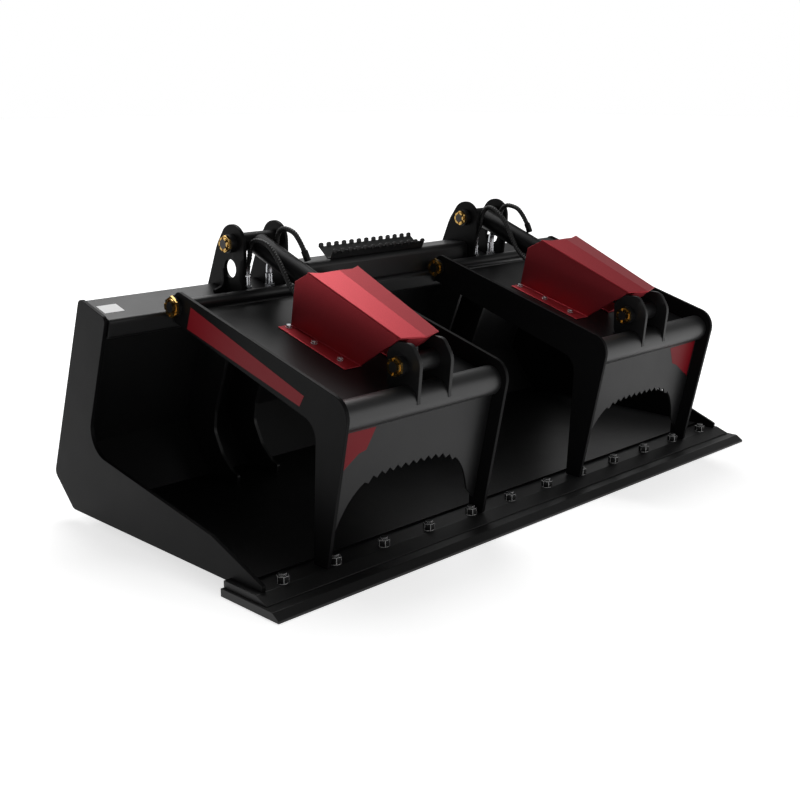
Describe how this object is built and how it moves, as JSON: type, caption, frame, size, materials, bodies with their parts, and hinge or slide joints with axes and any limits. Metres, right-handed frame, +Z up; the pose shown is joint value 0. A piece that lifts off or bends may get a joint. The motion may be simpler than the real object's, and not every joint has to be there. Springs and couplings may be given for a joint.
{
  "type": "scrap grapple",
  "caption": "Wide scrap bucket with two separately hinged upper jaws, each worked by a hydraulic cylinder under a folded guard.",
  "frame": {"origin": "middle of the footprint on the ground, under the centre of the box around the part", "axes": "+X along the cutting edge to the right seen from behind, +Y from the mouth to the coupler, +Z up"},
  "size_m": [1.865, 0.9654, 0.741],
  "materials": {
    "black_paint": "satin black powder coat",
    "guard_red": "metallic red paint",
    "yellow_zinc": "yellow zinc plate",
    "bright_zinc": "bright zinc plate",
    "rod_steel": "hard chrome",
    "hose_rubber": "braided hose cover"
  },
  "bodies": {
    "bucket": {"left_end_plate": "black_paint", "right_end_plate": "black_paint", "bucket_shell": "black_paint", "top_beam": "black_paint", "base_edge": "black_paint", "bolt_on_edge": "black_paint", "edge_bolts": "black_paint", "wear_straps": "black_paint", "back_ribs": "black_paint", "upper_rail": "black_paint", "step_tread": "black_paint", "coupler_plate": "black_paint", "left_tower_outer": "black_paint", "left_tower_inner": "black_paint", "right_tower_inner": "black_paint", "right_tower_outer": "black_paint", "tower_gussets": "black_paint", "tower_bosses": "black_paint", "left_tower_pin": "yellow_zinc", "right_tower_pin": "yellow_zinc", "tower_nuts": "yellow_zinc", "left_pivot_shaft": "black_paint", "right_pivot_shaft": "black_paint", "pivot_lugs": "black_paint", "pivot_nuts": "yellow_zinc", "port_fittings": "bright_zinc", "left_hoses": "hose_rubber", "right_hoses": "hose_rubber"},
    "left_jaw": {"left_jaw_outer_plate": "black_paint", "left_jaw_inner_plate": "black_paint", "left_jaw_bosses": "black_paint", "left_top_skin": "black_paint", "left_front_skin": "black_paint", "left_front_tube": "black_paint", "left_clevis_ears": "black_paint", "left_clevis_bosses": "black_paint", "left_clevis_pin": "yellow_zinc", "left_clevis_nuts": "yellow_zinc", "left_rod_eye": "black_paint", "left_guard": "guard_red", "left_guard_bolts": "bright_zinc"},
    "right_jaw": {"right_jaw_inner_plate": "black_paint", "right_jaw_outer_plate": "black_paint", "right_jaw_bosses": "black_paint", "right_top_skin": "black_paint", "right_front_skin": "black_paint", "right_front_tube": "black_paint", "right_clevis_ears": "black_paint", "right_clevis_bosses": "black_paint", "right_clevis_pin": "yellow_zinc", "right_clevis_nuts": "yellow_zinc", "right_rod_eye": "black_paint", "right_guard": "guard_red", "right_guard_bolts": "bright_zinc"},
    "left_barrel": {"left_barrel": "black_paint", "left_gland": "black_paint"},
    "right_barrel": {"right_barrel": "black_paint", "right_gland": "black_paint"},
    "left_rod": {"left_rod": "rod_steel"},
    "right_rod": {"right_rod": "rod_steel"}
  },
  "joints": [
    {"name": "left_jaw_hinge", "type": "hinge", "parent": "bucket", "child": "left_jaw", "pos_m": [-0.4615, 0.13909, 0.563], "axis": [-1, 0, 0], "range_deg": [0, 60]},
    {"name": "left_barrel_hinge", "type": "hinge", "parent": "bucket", "child": "left_barrel", "pos_m": [-0.4417, 0.18969, 0.693], "axis": [-1, 0, 0], "range_deg": [0, 56], "deforming": ["left_hoses"]},
    {"name": "left_rod_slide", "type": "slide", "parent": "left_barrel", "child": "left_rod", "axis": [0, -0.9354, -0.3536], "range_m": [-0.14, 0]},
    {"name": "right_jaw_hinge", "type": "hinge", "parent": "bucket", "child": "right_jaw", "pos_m": [0.4615, 0.13909, 0.563], "axis": [-1, 0, 0], "range_deg": [0, 60]},
    {"name": "right_barrel_hinge", "type": "hinge", "parent": "bucket", "child": "right_barrel", "pos_m": [0.4417, 0.18969, 0.693], "axis": [-1, 0, 0], "range_deg": [0, 56], "deforming": ["right_hoses"]},
    {"name": "right_rod_slide", "type": "slide", "parent": "right_barrel", "child": "right_rod", "axis": [0, -0.9354, -0.3536], "range_m": [-0.14, 0]}
  ],
  "couplings": [
    {"joint": "left_barrel_hinge", "follows": "left_jaw_hinge", "ratio": 0.93},
    {"joint": "left_rod_slide", "follows": "left_jaw_hinge", "m_per_rad": -0.12952},
    {"joint": "right_barrel_hinge", "follows": "right_jaw_hinge", "ratio": 0.93},
    {"joint": "right_rod_slide", "follows": "right_jaw_hinge", "m_per_rad": -0.12952}
  ]
}
